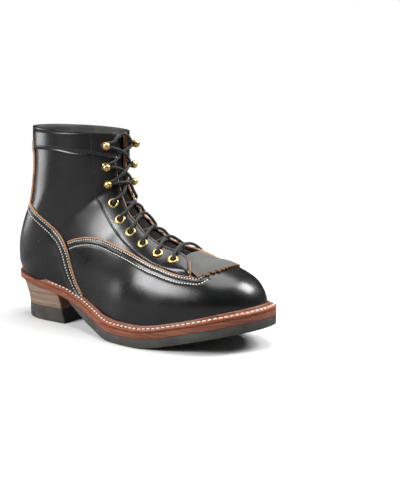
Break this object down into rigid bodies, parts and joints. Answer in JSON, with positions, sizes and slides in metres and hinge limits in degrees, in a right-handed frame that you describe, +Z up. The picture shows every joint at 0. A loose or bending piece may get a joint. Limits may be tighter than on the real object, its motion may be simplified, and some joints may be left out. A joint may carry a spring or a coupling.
{
  "type": "logger boot",
  "caption": "Right lace-to-toe leather logger boot on a welted sole with an undershot stacked heel and an open collar.",
  "frame": {"origin": "bottom centre of the boot's bounding box, on the floor that it stands on", "axes": "+X from heel to toe, +Y to the medial side, +Z up"},
  "size_m": [0.2996, 0.1112, 0.2006],
  "materials": {
    "black_leather": "waxed, smooth, soft gloss",
    "lining_leather": "matte, dark",
    "kiltie_leather": "matte, rough side out",
    "insole_leather": "matte, natural",
    "raw_edge": "cut edge, natural tan",
    "welt_leather": "oiled, satin",
    "midsole_leather": "burnished edge",
    "heel_leather": "stacked lifts, burnished",
    "dark_rubber": "matte",
    "brass": "polished",
    "lace_cord": "woven round cord",
    "pale_thread": "waxed thread",
    "black_thread": "waxed thread"
  },
  "bodies": {
    "root": {"upper": "black_leather", "vamp": "black_leather", "counter_cover": "black_leather", "collar_band": "black_leather", "backstay": "black_leather", "tongue": "lining_leather", "kiltie": "kiltie_leather", "insole": "insole_leather", "welt": "welt_leather", "midsole": "midsole_leather", "outsole": "dark_rubber", "heel_stack": "heel_leather", "heel_cap": "dark_rubber", "eyelet_lateral_1": "brass", "eyelet_lateral_2": "brass", "eyelet_lateral_3": "brass", "eyelet_lateral_4": "brass", "eyelet_lateral_5": "brass", "eyelet_lateral_6": "brass", "hook_lateral_1": "brass", "hook_lateral_2": "brass", "hook_lateral_3": "brass", "eyelet_medial_1": "brass", "eyelet_medial_2": "brass", "eyelet_medial_3": "brass", "eyelet_medial_4": "brass", "eyelet_medial_5": "brass", "eyelet_medial_6": "brass", "hook_medial_1": "brass", "hook_medial_2": "brass", "hook_medial_3": "brass", "laces": "lace_cord"}
  },
  "joints": []
}
